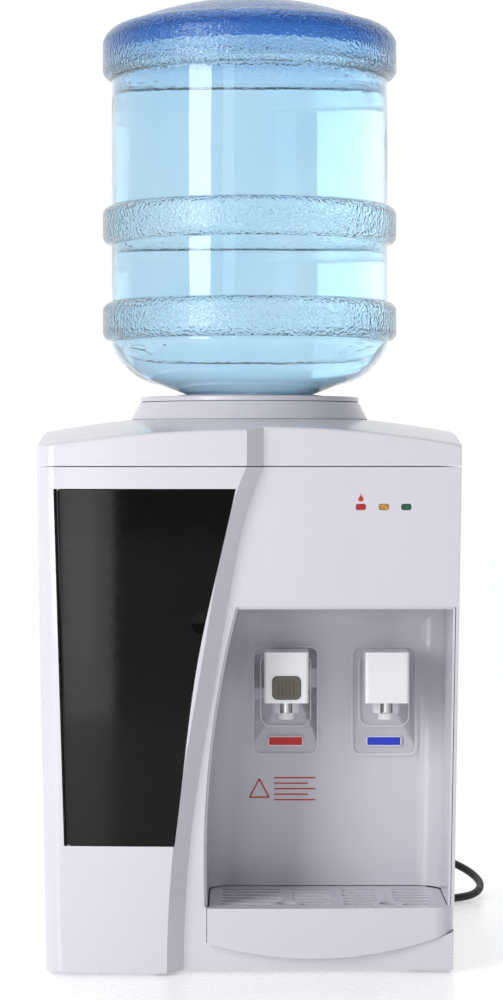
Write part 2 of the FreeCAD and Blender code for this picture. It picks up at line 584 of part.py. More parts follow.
# ---------------------------------------------------------------- taps
def make_tap(name, x):
    front = (x, TAP_Y, BARREL_Z)
    body = fuse(cyl(9.0, (x, -24, BARREL_Z), front),
                cyl(13.5, (x, ALCOVE_BACK - 6, BARREL_Z), (x, ALCOVE_BACK - 3.2, BARREL_Z)),
                cyl(11.0, (x, TAP_Y, 197), (x, TAP_Y, 233)),
                box(x - 6, x + 6, -70, -57, 222, 236), cyl(5.3, (x - 6, PIVOT_Y, PIVOT_Z - 2),
                                                           (x + 6, PIVOT_Y, PIVOT_Z - 2)))
    body = body.cut(cyl(5.0, (x, TAP_Y, 190), (x, TAP_Y, 211)))
    body = body.cut(cyl(3.0, (x, TAP_Y, 210), (x, TAP_Y, 240)))
    body = body.cut(box(x - 4.9, x + 4.9, -90, TAP_Y, 190, 206))
    body = body.cut(cyl(3.0, (x, -20, BARREL_Z), (x, TAP_Y, BARREL_Z)))
    body = body.cut(cyl(2.0, (x - 20, PIVOT_Y, PIVOT_Z), (x + 20, PIVOT_Y, PIVOT_Z)))
    write(name + "_tap_body", biggest(body))

    plate = rounded_box(x - 26.7, x + 26.7, ALCOVE_BACK - 1.6, ALCOVE_BACK, 159, 248, 7, (0, 1, 0))
    for half, z0, z1, r in ((26.7, 159, 248, 7), (21, 182, 243, 9)):
        rim = rounded_box(x - half, x + half, ALCOVE_BACK - 3, ALCOVE_BACK - 1, z0, z1, r, (0, 1, 0))
        plate = plate.fuse(rim.cut(rounded_box(x - half + 1.5, x + half - 1.5, -60, -30, z0 + 1.5,
                                               z1 - 1.5, r - 1.5, (0, 1, 0))))
    plate = plate.cut(cyl(9.0, (x, -60, BARREL_Z), (x, -30, BARREL_Z)))
    write(name + "_label", rounded_box(x - 13.5, x + 13.5, ALCOVE_BACK - 2.4, ALCOVE_BACK - 1.6,
                                       167, 173.5, 0.9, (0, 1, 0)))

    half, t = LEVER_HALF_W, 2.5
    lever = box(x - half, x + half, LEVER_FRONT, PIVOT_Y + 4, LEVER_LOW, LEVER_TOP)
    lever = lever.makeFillet(3.0, [e for e in edges_along(lever, (0, 0, 1)) if e.BoundBox.YMax < -99])
    lever = lever.cut(box(x - half + t, x + half - t, LEVER_FRONT + 3, -40, LEVER_LOW - 5, LEVER_TOP - 3))
    lever = lever.cut(cyl(2.05, (x - 30, PIVOT_Y, PIVOT_Z), (x + 30, PIVOT_Y, PIVOT_Z)))
    if name == "hot":
        lever = lever.cut(rounded_box(x - 11.4, x + 11.4, -125, -90, BUTTON_Z - 9.4, BUTTON_Z + 9.4,
                                      4.0, (0, 1, 0)))
    write(name + "_tap_lever", biggest(lever))
    nut = ring(16, 9.0, (x, ALCOVE_BACK + LINER + 0.05, BARREL_Z), (x, ALCOVE_BACK + 9, BARREL_Z))
    pin = cyl(2.0, (x - LEVER_HALF_W + 0.4, PIVOT_Y, PIVOT_Z), (x + LEVER_HALF_W - 0.4, PIVOT_Y, PIVOT_Z))
    return {
        "tap_plates": [plate],
        "tap_fixings": [nut, pin],
        "tap_nozzles": [ring(4.85, 3.2, (x, TAP_Y, 193), (x, TAP_Y, 211))],
        "nozzle_rings": [ring(6.75, 4.85, (x, TAP_Y, 191.5), (x, TAP_Y, 196.9))],
        "valve_stems": [cyl(2.95, (x, TAP_Y, 228), (x, TAP_Y, 236))],
    }


def make_taps():
    hot, cold = [make_tap(name, x) for name, x in TAP_X.items()]
    for node in hot:
        write(node, Part.makeCompound(hot[node] + cold[node]))
    x = TAP_X["hot"]
    button = rounded_box(x - 11, x + 11, -101.5, -96.7, BUTTON_Z - 9, BUTTON_Z + 9, 3.8, (0, 1, 0))
    flange = rounded_box(x - 12.6, x + 12.6, -96.7, -95.7, BUTTON_Z - 10.4, BUTTON_Z + 10.4, 3.8, (0, 1, 0))
    button = button.fuse(flange)
    for k in range(5):
        gx = x - 6 + 3 * k
        button = button.cut(box(gx - 0.5, gx + 0.5, -103, -101, BUTTON_Z - 6, BUTTON_Z + 6))
    write("child_lock_button", button)


def make_lamps():
    for name, x in LAMP_X.items():
        y = FASCIA_FRONT + FRONT_BOW_R - math.sqrt(FRONT_BOW_R ** 2 - x ** 2)
        write(name + "_lamp", lamp_block(x, 0, y - 0.5, y + 5))
    board = box(79, 131, -136.5, -134.9, 354, 374)
    leds = [cyl(2.0, (x, -140.0, LAMP_Z), (x, -136, LAMP_Z)) for x in LAMP_X.values()]
    posts = [cyl(2.5, (x, -144.4, 368), (x, -136.4, 368)) for x in (96, 114)]
    write("indicator_board", fuse(board, *leds, *posts))


# ---------------------------------------------------------------- water and power inside
def make_tanks():
    wall, low, high, r = 0.8, TANK_LOW, TANK_HIGH, TANK_R
    spigots = [(0, TANK_Y - 30), (30, TANK_Y)]
    tank = revolve([(0, low), (r, low), (r, high), (r + 4, high), (r + 4, high + 1), (r - wall, high + 1),
                    (r - wall, low + wall), (0, low + wall)], (0, TANK_Y))
    foam = revolve([(0, low - 5), (r + 9, low - 5), (r + 9, high - 0.3), (r + 0.1, high - 0.3),
                    (r + 0.1, low - 0.1), (0, low - 0.1)], (0, TANK_Y))
    foam = foam.cut(box(-24, 24, TANK_Y + 40, TANK_Y + 90, FAN_Z - 24, FAN_Z + 24))
    for x, y in spigots:
        tank = tank.fuse(cyl(5, (x, y, 286), (x, y, low + 0.4))).cut(cyl(3.5, (x, y, 280), (x, y, 300)))
        foam = foam.cut(cyl(5.1, (x, y, 280), (x, y, 300)))
    write("cold_tank", tank)
    write("tank_foam", foam)
    cover = revolve([(r - 29, high + 1), (r + 5, high + 1), (r + 5, high + 3), (r - 29, high + 3)], (0, TANK_Y))
    write("tank_cover", cover)
    block_y = TANK_Y + r
    block = box(-20, 20, block_y - 8, block_y + 8, FAN_Z - 20, FAN_Z + 20)
    write("cold_block", biggest(block.cut(cyl(r + 0.05, (0, TANK_Y, 300), (0, TANK_Y, 400)))))
    write("peltier_module", box(-20, 20, block_y + 8, block_y + 12, FAN_Z - 20, FAN_Z + 20))
    sink_y = block_y + 12
    fins = [box(-40 + 5.2 * k, -38.4 + 5.2 * k, sink_y + 4, sink_y + 34, FAN_Z - 40, FAN_Z + 40)
            for k in range(16)]
    write("heat_sink", fuse(box(-40, 40, sink_y, sink_y + 5, FAN_Z - 40, FAN_Z + 40), *fins))

    hx, hy = HOT_AT
    hot = revolve([(0, 100), (38, 100), (42, 104), (42, 226), (38, 230), (0, 230)], (hx, hy))
    core = revolve([(0, 101), (37.6, 101), (41, 104.4), (41, 225.6), (37.6, 229), (0, 229)], (hx, hy))
    ports = ((hx - 15, 229.5, 244), (hx + 15, 229.5, 244), (hx, 88, 100.5))
    hot = fuse(hot, *[cyl(4.5, (x, hy, z0), (x, hy, z1)) for x, z0, z1 in ports]).cut(core)
    for x, z0, z1 in ports:
        hot = hot.cut(cyl(3, (x, hy, z0 - 8), (x, hy, z1 + 8)))
    write("hot_tank", biggest(hot))
    band = ring(45, 42, (hx, hy, 130), (hx, hy, 170)).fuse(box(hx - 52, hx - 43, hy - 8, hy + 8, 140, 160))
    thermostat = cyl(9, (hx, hy - 36, 195), (hx, hy - 48, 195)).cut(cyl(42, (hx, hy, 90), (hx, hy, 240)))
    write("heater_band", Part.makeCompound([biggest(band.cut(cyl(42, (hx, hy, 90), (hx, hy, 240)))),
                                            biggest(thermostat)]))
    stand = fuse(box(hx - 37, hx + 37, hy - 10, hy + 10, 96, 100),
                 *[box(hx + s * 34 - 3, hx + s * 34 + 3, hy - 10, hy + 10, FOOT_H + 3, 99) for s in (-1, 1)])
    write("tank_stand", stand.cut(cyl(6, (hx, hy, 60), (hx, hy, 110))))


def make_fan():
    y0 = TANK_Y + TANK_R + 46
    y1 = y0 + 25
    frame = box(-40, 40, y0, y1, FAN_Z - 40, FAN_Z + 40)
    frame = frame.cut(cyl(37.5, (0, y0 - 1, FAN_Z), (0, y1 + 1, FAN_Z)))
    parts = [cyl(15, (0, y0 + 0.5, FAN_Z), (0, y0 + 6, FAN_Z)),
             cyl(1.5, (0, y0 + 4, FAN_Z), (0, y0 + 20, FAN_Z))]
    for k in range(4):
        strut = box(12, 39, y0 + 0.5, y0 + 4, FAN_Z - 2, FAN_Z + 2)
        strut.rotate(V(0, 0, FAN_Z), V(0, 1, 0), 45 + 90 * k)
        parts.append(strut)
    write("fan_frame", fuse(frame, *parts))
    rotor = cyl(16, (0, y0 + 7, FAN_Z), (0, y1 - 1, FAN_Z))
    for k in range(7):
        blade = box(14, 36, y0 + 15, y0 + 16.6, FAN_Z - 8, FAN_Z + 8)
        blade.rotate(V(0, y0 + 15.8, FAN_Z), V(1, 0, 0), 35)
        blade.rotate(V(0, 0, FAN_Z), V(0, 1, 0), 360 / 7 * k)
        rotor = rotor.fuse(blade)
    write("fan_rotor", rotor.cut(cyl(1.55, (0, y0, FAN_Z), (0, y0 + 21, FAN_Z))))


def pipe(points, radius):
    """Tube along straight runs joined by tangent arcs; prints its volume against its length."""
    runs = [V(*p) for p in points]
    edges, start, length, radii = [], runs[0], 0.0, []
    for a, b, c in zip(runs, runs[1:], runs[2:]):
        u, w = (b - a).normalize(), (c - b).normalize()
        turn = u.getAngle(w)
        cut = 0.45 * min((b - a).Length, (c - b).Length)
        bend = cut / math.tan(turn / 2)
        p, q = b - u * cut, b + w * cut
        inward = (w - u).normalize()
        mid = b + inward * (bend / math.cos(turn / 2) - bend)
        edges += [Part.LineSegment(start, p).toShape(), Part.Arc(p, mid, q).toShape()]
        length += (p - start).Length + bend * turn
        radii.append(round(bend, 1))
        start = q
    edges.append(Part.LineSegment(start, runs[-1]).toShape())
    length += (runs[-1] - start).Length
    circle = Part.Wire(Part.Circle(runs[0], runs[1] - runs[0], radius).toShape())
    tube = Part.Wire(edges).makePipeShell([circle], True, False)
    ratio = tube.Volume / (math.pi * radius ** 2 * length)
    print("pipe length %.1f, volume ratio %.4f, radii %s" % (length, ratio, radii))
    return tube


def make_plumbing():
    hx, hy = HOT_AT
    hot, cold = TAP_X["hot"], TAP_X["cold"]
    cold_out = pipe([
        (0, TANK_Y - 30, 286), (0, TANK_Y - 30, 270), (36, -16, 260), (78, -8, 250), (cold, 0, 238),
        (cold, -4, BARREL_Z), (cold, -24, BARREL_Z)], 4.5)
    hot_feed = pipe([
        (30, TANK_Y, 286), (30, TANK_Y, 276), (42, TANK_Y + 28, 268), (hx - 15, hy, 262),
        (hx - 15, hy, 244)], 4.5)
    hot_out = pipe([
        (hx + 15, hy, 244), (hx + 15, hy, 258), (hx, hy - 30, 252), (hot + 14, 16, 240),
        (hot, -1, 232), (hot, -6, BARREL_Z), (hot, -24, BARREL_Z)], 4.5)
    drain = pipe([
        (hx, hy, 88), (hx, hy, 68), (hx - 10, hy + 26, 52), (DRAIN_X, hy + 46, DRAIN_Z),
        (DRAIN_X, 140, DRAIN_Z)], 4.5)
    write("water_tubes", Part.makeCompound([cold_out, hot_feed, hot_out, drain]))
    outlet = fuse(cyl(7.6, (DRAIN_X, 144, DRAIN_Z), (DRAIN_X, 171, DRAIN_Z)),
                  cyl(11, (DRAIN_X, BACK - REAR_T - 3, DRAIN_Z), (DRAIN_X, BACK - REAR_T, DRAIN_Z)),
                  cyl(5, (DRAIN_X, 140, DRAIN_Z), (DRAIN_X, 146, DRAIN_Z)))
    write("drain_outlet", outlet.cut(cyl(3, (DRAIN_X, 138, DRAIN_Z), (DRAIN_X, 175, DRAIN_Z))))
    cap = cyl(11.5, (DRAIN_X, BACK + 0.4, DRAIN_Z), (DRAIN_X, BACK + 12, DRAIN_Z))
    cap = cap.cut(cyl(8.0, (DRAIN_X, BACK - 5, DRAIN_Z), (DRAIN_X, BACK + 7.5, DRAIN_Z)))
    for k in range(12):
        a = math.radians(30 * k)
        gx, gz = DRAIN_X + 12 * math.cos(a), DRAIN_Z + 12 * math.sin(a)
        cap = cap.cut(cyl(1.2, (gx, BACK, gz), (gx, BACK + 14, gz)))
    write("drain_cap", cap)


def make_power():
    write("power_supply", rounded_box(-132, -72, 10, 100, FOOT_H + 9, 62, 3, (0, 1, 0)))
    (x0, x1), (z0, z1) = SWITCH_HOLE_X, SWITCH_HOLE_Z
    middle, mid_z, axis_y = (x0 + x1) / 2, (z0 + z1) / 2, BACK - 3
    housing = fuse(box(x0 - 3, x1 + 3, BACK, BACK + 1.8, z0 - 3, z1 + 3),
                   box(x0, x1, BACK - 16, BACK + 0.5, z0, z1))
    outline = [(-5, -3), (3.2, -7.8), (5.8, -7.8), (3.4, 0), (5.8, 7.8), (3.2, 7.8), (-5, 3)]
    for name, x in (("heater", middle - 13.5), ("power", middle + 13.5)):
        housing = housing.cut(box(x - 11, x + 11, BACK - 14, BACK + 5, mid_z - 10.2, mid_z + 10.2))
        housing = housing.cut(cyl(1.6, (x - 12, axis_y, mid_z), (x + 12, axis_y, mid_z)))
        wire = Part.makePolygon([V(x - 10.4, axis_y + y, mid_z + z) for y, z in outline + outline[:1]])
        key = Part.Face(wire).extrude(V(20.8, 0, 0))
        key = key.fuse(cyl(1.54, (x - 11.9, axis_y, mid_z), (x + 11.9, axis_y, mid_z)))
        key.rotate(V(x, axis_y, mid_z), V(1, 0, 0), 10)
        write(name + "_switch", key)
    write("switch_housing", biggest(housing))


# ---------------------------------------------------------------- mains cord
def make_cord():
    gland = revolve([(0, 0), (6.8, 0), (6.8, 4.1), (9.5, 4.1), (9.5, 7.4), (7.6, 8.6), (4.6, 26.1), (0, 26.1)])
    for k in range(3):
        z = 11 + 4.4 * k
        groove = ring(12, 4.4, (0, 0, z), (0, 0, z + 1.8))
        gland = gland.cut(groove.cut(box(-2, 2, -12, 12, z - 1, z + 3)))
    gland.rotate(V(0, 0, 0), V(1, 0, 0), -90)
    gland.translate(V(GLAND_X, CORD_ROUTE[0][1] - 26.1, GLAND_Z))
    write("cord_gland", gland)
    write("power_cord", pipe(CORD_ROUTE, CORD_R))
    inner, outer, high = COIL_INNER, COIL_OUTER, COIL_H
    write("cord_coil", revolve([(inner, 2), (inner + 2, 0), (outer - 2, 0), (outer, 2), (outer, high - 2),
                                (outer - 2, high), (inner + 2, high), (inner, high - 2)], COIL_CENTRE))
    cx, cy = COIL_CENTRE
    y, z, x1 = cy + 50, 10.6, cx + 20
    boot = Part.makeCone(4.4, 8.5, 34, V(x1, y, z), V(1, 0, 0))
    body = rounded_box(x1 + 32, x1 + 66, y - 14, y + 14, 1.2, 20, 6, (1, 0, 0))
    write("plug_body", biggest(boot.fuse(body)))
    tip = x1 + 66
    blades = [box(tip, tip + 16, y + s - 0.8, y + s + 0.8, z - 3.2, z + 3.2) for s in (-6.3, 6.3)]
    write("plug_blades", Part.makeCompound(blades))


for step in (make_casings, make_rear_panel, make_lid, make_bottle_seat, make_bottle, make_alcove,
             make_drip_tray, make_cupboard, make_taps, make_lamps, make_tanks, make_fan,
             make_plumbing, make_power, make_cord):
    step()
print("nodes", len(NODES))
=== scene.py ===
import json
import math

import bmesh
import bpy
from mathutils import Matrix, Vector

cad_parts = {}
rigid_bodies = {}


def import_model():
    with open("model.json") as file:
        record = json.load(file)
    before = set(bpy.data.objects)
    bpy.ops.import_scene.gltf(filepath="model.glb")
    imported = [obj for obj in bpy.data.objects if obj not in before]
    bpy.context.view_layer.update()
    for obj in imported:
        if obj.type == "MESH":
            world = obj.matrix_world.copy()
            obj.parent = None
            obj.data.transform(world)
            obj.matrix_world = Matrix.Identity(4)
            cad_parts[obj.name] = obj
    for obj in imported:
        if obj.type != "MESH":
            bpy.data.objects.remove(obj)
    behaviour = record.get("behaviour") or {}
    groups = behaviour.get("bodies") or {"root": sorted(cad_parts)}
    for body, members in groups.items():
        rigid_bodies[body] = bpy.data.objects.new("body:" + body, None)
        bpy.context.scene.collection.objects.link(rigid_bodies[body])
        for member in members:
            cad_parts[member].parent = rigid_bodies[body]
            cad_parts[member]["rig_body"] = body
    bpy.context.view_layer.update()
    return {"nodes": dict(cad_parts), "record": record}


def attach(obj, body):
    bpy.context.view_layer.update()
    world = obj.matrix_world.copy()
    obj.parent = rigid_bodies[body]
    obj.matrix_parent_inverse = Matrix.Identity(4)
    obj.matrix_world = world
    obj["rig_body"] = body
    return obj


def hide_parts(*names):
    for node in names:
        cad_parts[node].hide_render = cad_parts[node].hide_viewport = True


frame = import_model()
NODES = frame["nodes"]

# ---------------------------------------------------------------- dimensions, in metres unless marked
FRONT_Y, FASCIA_Y = -0.165, -0.150      # foremost y of the pod's front and of the fascia
BOW_R = 1.8                             # plan radius of both, which are gently bowed
ON_BOW = 0.00003                        # how near the true curve a corner of the front lies
FACES_BOW = 0.9998                      # cosine between a facet of the front and the true curve

EYE_X = 0.0016
EYE_Z = 0.4046                          # level with the top of the cabinet
EYE_DISTANCE = 2.2                      # from the eye to the front of the cabinet
LENS, SENSOR = 102.2, 36                # mm
SHIFT_Y = -0.045
CLIP_END = 30

# The same points as the route of the CAD cord.
CORD_ROUTE = [
    (0.1120, 0.1870, 0.0460), (0.1120, 0.2020, 0.0458), (0.1175, 0.2310, 0.0445),
    (0.1330, 0.2580, 0.0410), (0.1560, 0.2765, 0.0350), (0.1848, 0.2810, 0.0270),
    (0.2054, 0.2653, 0.0180), (0.2133, 0.2410, 0.0105), (0.2054, 0.2167, 0.0050),
    (0.1848, 0.2017, 0.0036), (0.1520, 0.1965, 0.0035), (0.1100, 0.1975, 0.0035),
    (0.0660, 0.1996, 0.0035), (0.0240, 0.1990, 0.0035), (-0.0100, 0.1990, 0.0035),
]
CORD_D = 0.007
PLUG_START = (-0.020, 0.299, 0.0106)    # where the cord enters its plug, on top of the coil
COIL_X, COIL_Y = -0.040, 0.249
COIL_R = 0.030                          # radius of the innermost turn
COIL_PITCH, COIL_LAYER = 0.008, 0.0072  # from turn to turn, and from layer to layer
LAYER_TURNS, CLIMB_TURNS = 2.5, 0.5     # turns in each of two layers, and turns between them
TURN_POINTS = 16

# Bottle, in mm.
RIB_R, WALL_R, NECK_R = 122.2, 114.7, 27.5
RIBS = ((499, 531.5), (579, 611))       # lower and upper edge of each rib
RING_LOW, RING_HIGH = 716.5, 747        # straight part of the ring round the base
BASE_Z = 781
SHELL = 1.6                             # wall thickness
WATER_GAP = 1.9                         # from the outside of the bottle to its water
STRAIGHT = 0.6                          # from the end of a straight stretch to the point inside it
SPIN_COUNT = 192                        # facets round the bottle

WATER_LOW, WATER_LEVEL = 0.4560, 0.7380     # the neck's end of the water and its surface
WATER_R = 0.1126                            # its plain wall, which stays out of the ribs

TAP_X = (0.0295, 0.1100)
PLATE_Y, LABEL_Y = -0.0400, -0.0386     # front of the tap plates, and of the two bars on them
NOTICE_Y = -0.037                       # front of the bay's rear wall
PRINT_REAR = 0.0003                     # how far a printed mark reaches into its wall
HOT_X, POWER_X, COLD_X = 0.087, 0.105, 0.1225
MARK_Z = 0.3712                         # height of the three marks over the lamps
MARK_DEPTH, STROKE = 0.0004, 0.0009
FLAME_SCALE = 0.0013
FLAME = ((-1.4, -1.6), (-0.6, -2.2), (0.6, -2.2), (1.4, -1.5), (1.6, -0.3), (0.9, 0.9),
         (0.8, 0.1), (0.1, 2.4), (-0.6, 0.7), (-1.1, 0.2), (-1.6, -0.4))

# Radius of the rounded edges of each moulding.
SOFT_EDGES = {
    "front_shell": 0.0012, "top_lid": 0.0012, "cupboard_door": 0.0012, "drip_tray": 0.0015,
    "drip_grille": 0.0005, "bottle_collar": 0.0012, "seat_ring": 0.001,
    "hot_tap_lever": 0.0016, "cold_tap_lever": 0.0016, "child_lock_button": 0.0004,
    "hot_tap_body": 0.0006, "cold_tap_body": 0.0006, "nozzle_rings": 0.0005,
    "tap_plates": 0.0004, "hot_label": 0.0003, "cold_label": 0.0003,
    "hot_lamp": 0.0008, "power_lamp": 0.0008, "cold_lamp": 0.0008,
    "left_side_panel": 0.0008, "right_side_panel": 0.0008,
}
BOWED = ("front_shell", "cupboard_door")

ROOM_FRONT, ROOM_BACK = 0.30, 1.04      # brightness of the room before and behind the object
FLOOR_HALF = 12
FLOOR_GLOW = 0.28
# Name, place, aim, size and power of each area light.
LIGHTS = (
    ("key", (-1.35, -1.6, 1.0), (0.05, 0, 0.25), (0.7, 1.8), 28),
    ("front", (-0.9, -3.0, 0.9), (0.05, 0, 0.30), (0.5, 1.8), 3),
    ("top", (-0.2, 0.2, 2.4), (0, 0, 0.4), (1.6, 1.2), 6),
    ("strip", (-0.55, -2.3, 0.30), (-0.10, -0.165, 0.25), (0.17, 0.60), 0.9),
)


def place(name, data):
    obj = bpy.data.objects.new(name, data)
    bpy.context.scene.collection.objects.link(obj)
    return obj


def paint(obj, material):
    obj.data.materials.clear()
    obj.data.materials.append(material)


# ---------------------------------------------------------------- camera and cord
def make_camera():
    data = bpy.data.cameras.new("camera")
    camera = place("camera", data)
    camera.location = (EYE_X, FRONT_Y - EYE_DISTANCE, EYE_Z)
    camera.rotation_euler = (math.radians(90), 0, 0)
    data.sensor_width = SENSOR
    data.lens = LENS
    data.shift_y = SHIFT_Y
    data.clip_end = CLIP_END
    bpy.context.scene.camera = camera


def coil_points():
    """Turns wound inwards on the bottom layer, up, and outwards again on the second layer."""
    points = []
    top_start = LAYER_TURNS + CLIMB_TURNS
    floor_z = CORD_D / 2
    # A turn's points stand outside it, because the spline cuts inside them.
    outside = 1 / math.cos(math.pi / TURN_POINTS) ** 0.5
    for i in range(1, int((top_start + LAYER_TURNS) * TURN_POINTS) + 1):
        turn = i / TURN_POINTS
        if turn <= LAYER_TURNS:
            r, z = COIL_R + COIL_PITCH * (LAYER_TURNS - turn), floor_z
        elif turn <= top_start:
            t = (turn - LAYER_TURNS) / CLIMB_TURNS
            r, z = COIL_R, floor_z + COIL_LAYER * t * t * (3 - 2 * t)
        else:
            r, z = COIL_R + COIL_PITCH * (turn - top_start), floor_z + COIL_LAYER
        a = -math.pi / 2 - 2 * math.pi * turn
        points.append((COIL_X + r * outside * math.cos(a), COIL_Y + r * outside * math.sin(a), z))
    return points


def make_cord():
    points = CORD_ROUTE + coil_points() + [PLUG_START]
    curve = bpy.data.curves.new("mains_cord", "CURVE")
    curve.dimensions = "3D"
    curve.bevel_depth = CORD_D / 2
    curve.bevel_resolution = 6
    curve.resolution_u = 8
    curve.use_fill_caps = True
    spline = curve.splines.new("NURBS")
    spline.points.add(len(points) - 1)
    for p, co in zip(spline.points, points):
        p.co = (*co, 1)
    spline.order_u = 3
    spline.use_endpoint_u = True
    return place("mains_cord", curve)


# ---------------------------------------------------------------- materials
MIX_A, MIX_B, MIX_RESULT = 6, 7, 2      # a Mix node's colour sockets


class Graph:
    """Short names for building a node material."""

    def __init__(self, name):
        self.mat = bpy.data.materials.new(name)
        self.mat.use_nodes = True
        self.tree = self.mat.node_tree
        self.bsdf = self.tree.nodes["Principled BSDF"]
        self.where = self.add("ShaderNodeTexCoord").outputs["Object"]

    def add(self, kind, **settings):
        node = self.tree.nodes.new(kind)
        for key, value in settings.items():
            setattr(node, key, value)
        return node

    def link(self, a, b):
        self.tree.links.new(a, b)

    def noise(self, scale, detail=3.0, stretch=None):
        node = self.add("ShaderNodeTexNoise")
        node.inputs["Scale"].default_value = scale
        node.inputs["Detail"].default_value = detail
        self.link(self.stretched(stretch) if stretch else self.where, node.inputs["Vector"])
        return node.outputs["Fac"]

    def stretched(self, scale):
        node = self.add("ShaderNodeMapping")
        node.inputs["Scale"].default_value = scale
        self.link(self.where, node.inputs["Vector"])
        return node.outputs["Vector"]

    def cells(self, scale, feature="SMOOTH_F1"):
        node = self.add("ShaderNodeTexVoronoi", feature=feature)
        node.inputs["Scale"].default_value = scale
        self.link(self.where, node.inputs["Vector"])
        return node.outputs["Distance"]

    def spread(self, value, low, high, out_low=0.0, out_high=1.0):
        """A smooth step from out_low to out_high while the value goes from low to high."""
        node = self.add("ShaderNodeMapRange", interpolation_type="SMOOTHSTEP")
        for socket, number in (("From Min", low), ("From Max", high),
                               ("To Min", out_low), ("To Max", out_high)):
            node.inputs[socket].default_value = number
        self.link(value, node.inputs["Value"])
        return node.outputs["Result"]

    def math(self, operation, a, b):
        node = self.add("ShaderNodeMath", operation=operation)
        for socket, value in ((node.inputs[0], a), (node.inputs[1], b)):
            if isinstance(value, (int, float)):
                socket.default_value = value
            else:
                self.link(value, socket)
        return node.outputs[0]

    def colours(self, value, first, second):
        node = self.add("ShaderNodeMix", data_type="RGBA")
        for socket, rgb in ((node.inputs[MIX_A], first), (node.inputs[MIX_B], second)):
            socket.default_value = (*rgb, 1)
        self.link(value, node.inputs[0])
        return node.outputs[MIX_RESULT]

    def multiplied(self, first, second):
        node = self.add("ShaderNodeMix", data_type="RGBA", blend_type="MULTIPLY")
        node.inputs[0].default_value = 1.0
        self.link(first, node.inputs[MIX_A])
        self.link(second, node.inputs[MIX_B])
        return node.outputs[MIX_RESULT]

    def bump(self, height, distance):
        node = self.add("ShaderNodeBump")
        node.inputs["Distance"].default_value = distance
        self.link(height, node.inputs["Height"])
        self.link(node.outputs["Normal"], self.bsdf.inputs["Normal"])

    def finish(self, colour, rough, **sockets):
        self.link(colour, self.bsdf.inputs["Base Color"])
        if rough is not None:
            self.link(rough, self.bsdf.inputs["Roughness"])
        for name, value in sockets.items():
            self.bsdf.inputs[name.replace("_", " ")].default_value = value
        return self.mat


def scaled(rgb, by):
    return tuple(c * by for c in rgb)


def moulded(name, base, rough, grain=900.0, depth=0.000003, tone=0.008, **sockets):
    """Moulded plastic: faint flow marks in the colour, uneven gloss and a fine surface grain."""
    g = Graph(name)
    colour = g.colours(g.spread(g.noise(14.0, 4.0), 0.35, 0.65), base, scaled(base, 1 - tone))
    shine = g.spread(g.noise(160.0, 4.0), 0.3, 0.7, *rough)
    g.bump(g.noise(grain, 2.0), depth)
    return g.finish(colour, shine, **sockets)


def brushed(name, base, stretch, rough=(0.18, 0.38)):
    """Metal with fine drawn lines along one direction."""
    g = Graph(name)
    streaks = g.noise(600.0, 3.0, stretch)
    g.bump(streaks, 0.00002)
    colour = g.colours(streaks, scaled(base, 0.86), base)
    return g.finish(colour, g.spread(streaks, 0.3, 0.7, *rough), Metallic=1.0)


def foamed(name, base):
    g = Graph(name)
    bubbles = g.cells(420.0)
    g.bump(bubbles, 0.0004)
    # painted shade: the foam is darker in the pits of its cells
    colour = g.colours(g.spread(bubbles, 0.0, 0.7), scaled(base, 0.8), base)
    return g.finish(colour, None, Roughness=0.9)


def bottle_material():
    """Clear blue bottle plastic: pebbled on its ribs and base, slightly rippled between them, with painted
    shade that deepens the blue over the ring and dome at its top.
    """
    g = Graph("bottle_blue")
    split = g.add("ShaderNodeSeparateXYZ")
    g.link(g.where, split.inputs["Vector"])
    z = split.outputs["Z"]
    pebbled = g.spread(z, 0.7135, 0.7165)
    for low, high in RIBS:
        low, high = low / 1000, high / 1000
        up = g.spread(z, low - 0.001, low + 0.002)
        down = g.spread(z, high - 0.002, high + 0.001, 1.0, 0.0)
        pebbled = g.math("MAXIMUM", pebbled, g.math("MULTIPLY", up, down))
    pebbles = g.math("MULTIPLY", g.cells(480.0), pebbled)
    ripples = g.math("MULTIPLY", g.noise(16.0, 2.0), 0.6)
    g.bump(g.math("ADD", pebbles, ripples), 0.0007)
    tint = g.colours(g.spread(g.noise(9.0, 3.0), 0.3, 0.7), (0.67, 0.865, 0.985), (0.75, 0.905, 0.99))
    # painted shade: the blue deepens over the ring and dome at the top of the bottle
    painted_top_shade = g.colours(g.spread(z, 0.708, 0.766), (1.0, 1.0, 1.0), (0.15, 0.40, 0.82))
    rough = g.spread(pebbled, 0.0, 1.0, 0.02, 0.10)
    return g.finish(g.multiplied(tint, painted_top_shade), rough, Transmission_Weight=0.97, IOR=1.40)


def water_material():
    g = Graph("water")
    clouds = g.spread(g.noise(6.0, 2.0), 0.3, 0.7)
    colour = g.colours(clouds, (0.955, 0.985, 1.0), (0.975, 0.992, 1.0))
    g.bump(g.noise(22.0, 2.0), 0.0002)
    return g.finish(colour, None, Roughness=0.0, Transmission_Weight=1.0, IOR=1.33)


def clear_material(name, tint, alpha):
    """Thin clear plastic over a pale wall."""
    g = Graph(name)
    colour = g.colours(g.noise(30.0), tint, scaled(tint, 0.95))
    shine = g.spread(g.noise(120.0), 0.3, 0.7, 0.05, 0.12)
    g.bump(g.noise(70.0), 0.00003)
    return g.finish(colour, shine, Alpha=alpha, Coat_Weight=0.6, Coat_Roughness=0.05)


def lamp_material(name, colour, glow):
    """A small faceted lens, lit from behind."""
    g = Graph(name)
    facets = g.cells(900.0, "F1")
    mixed = g.colours(g.spread(facets, 0.1, 0.6), colour, scaled(colour, 0.35))
    g.link(mixed, g.bsdf.inputs["Emission Color"])
    g.bump(facets, 0.0002)
    return g.finish(mixed, None, Roughness=0.15, Emission_Strength=glow, Coat_Weight=0.6)


